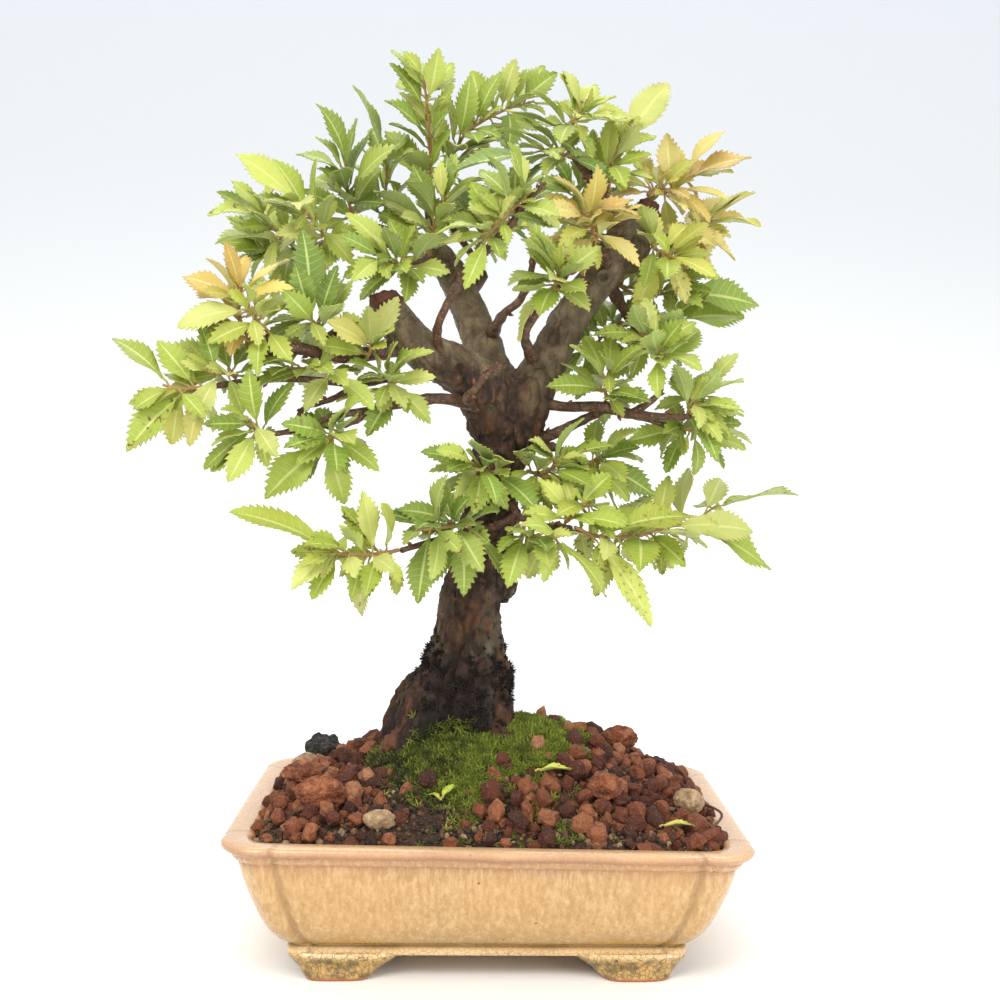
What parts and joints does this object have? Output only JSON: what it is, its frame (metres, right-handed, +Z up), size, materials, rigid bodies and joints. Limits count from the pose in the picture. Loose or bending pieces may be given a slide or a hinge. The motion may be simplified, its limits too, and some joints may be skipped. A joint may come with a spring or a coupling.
{
  "type": "bonsai tree in a pot",
  "caption": "Small broad-leaved bonsai tree with a flared trunk, three short limbs and serrated leaves, in a shallow rectangular glazed pot with bracket feet.",
  "frame": {"origin": "middle of the pot's footprint on the ground, which is also the bottom centre of the whole object's box", "axes": "+Z up the trunk, +X to the right seen from the front, -Y towards the front"},
  "size_m": [0.2217, 0.12, 0.2981],
  "materials": {
    "glaze": "honey-coloured streaked gloss glaze over stoneware",
    "screen": "black moulded plastic net",
    "soil": "gritty mix of crushed lava and dark humus",
    "moss": "soft green moss, darker in the hollows",
    "lava": "porous red-brown lava",
    "charcoal": "rough black charcoal",
    "pebble": "smooth tan pebble",
    "bark": "grey-brown bark, dark and flaky on the trunk",
    "leaf": "fresh green leaf, slightly glossy, with a paler underside"
  },
  "bodies": {
    "root": {"drain_screen_left": "screen", "drain_screen_right": "screen", "fallen_leaf": "leaf", "moss": "moss", "pot": "glaze", "shoot_apex": "leaf", "shoot_back_stub": "leaf", "shoot_branch_end": "leaf", "shoot_branch_low": "leaf", "shoot_branch_top": "leaf", "shoot_centre_back": "leaf", "shoot_centre_left": "leaf", "shoot_crown_back": "leaf", "shoot_crown_centre": "leaf", "shoot_crown_left": "leaf", "shoot_fork_twig": "leaf", "shoot_fork_yellow": "leaf", "shoot_inner_bronze": "leaf", "shoot_inner_right": "leaf", "shoot_left_bronze": "leaf", "shoot_left_hang": "leaf", "shoot_left_inner": "leaf", "shoot_left_low_end": "leaf", "shoot_left_mid_end": "leaf", "shoot_left_mid_low": "leaf", "shoot_left_tip": "leaf", "shoot_left_upper": "leaf", "shoot_left_upright": "leaf", "shoot_low_left_end": "leaf", "shoot_low_left_near": "leaf", "shoot_low_right_hang": "leaf", "shoot_low_right_long": "leaf", "shoot_low_right_near": "leaf", "shoot_right_behind": "leaf", "shoot_right_bronze": "leaf", "shoot_right_droop": "leaf", "shoot_right_front": "leaf", "shoot_right_knob": "leaf", "shoot_right_mid": "leaf", "shoot_right_mid_top": "leaf", "shoot_right_top": "leaf", "shoot_slender_twig": "leaf", "shoot_stub_side": "leaf", "shoot_stub_top": "leaf", "shoot_trunk_front": "leaf", "shoot_trunk_side": "leaf", "shoot_upper_left_back": "leaf", "shoot_upper_left_front": "leaf", "shoot_upper_left_low": "leaf", "shoot_upper_left_top": "leaf", "soil": "soil", "stone_charcoal_left": "charcoal", "stone_lava_left": "lava", "stone_lava_left_low": "lava", "stone_lava_right": "lava", "stone_lava_right_far": "lava", "stone_pebble_front": "pebble", "stone_pebble_left": "pebble", "stone_pebble_right": "pebble", "tree_wood": "bark"}
  },
  "joints": []
}
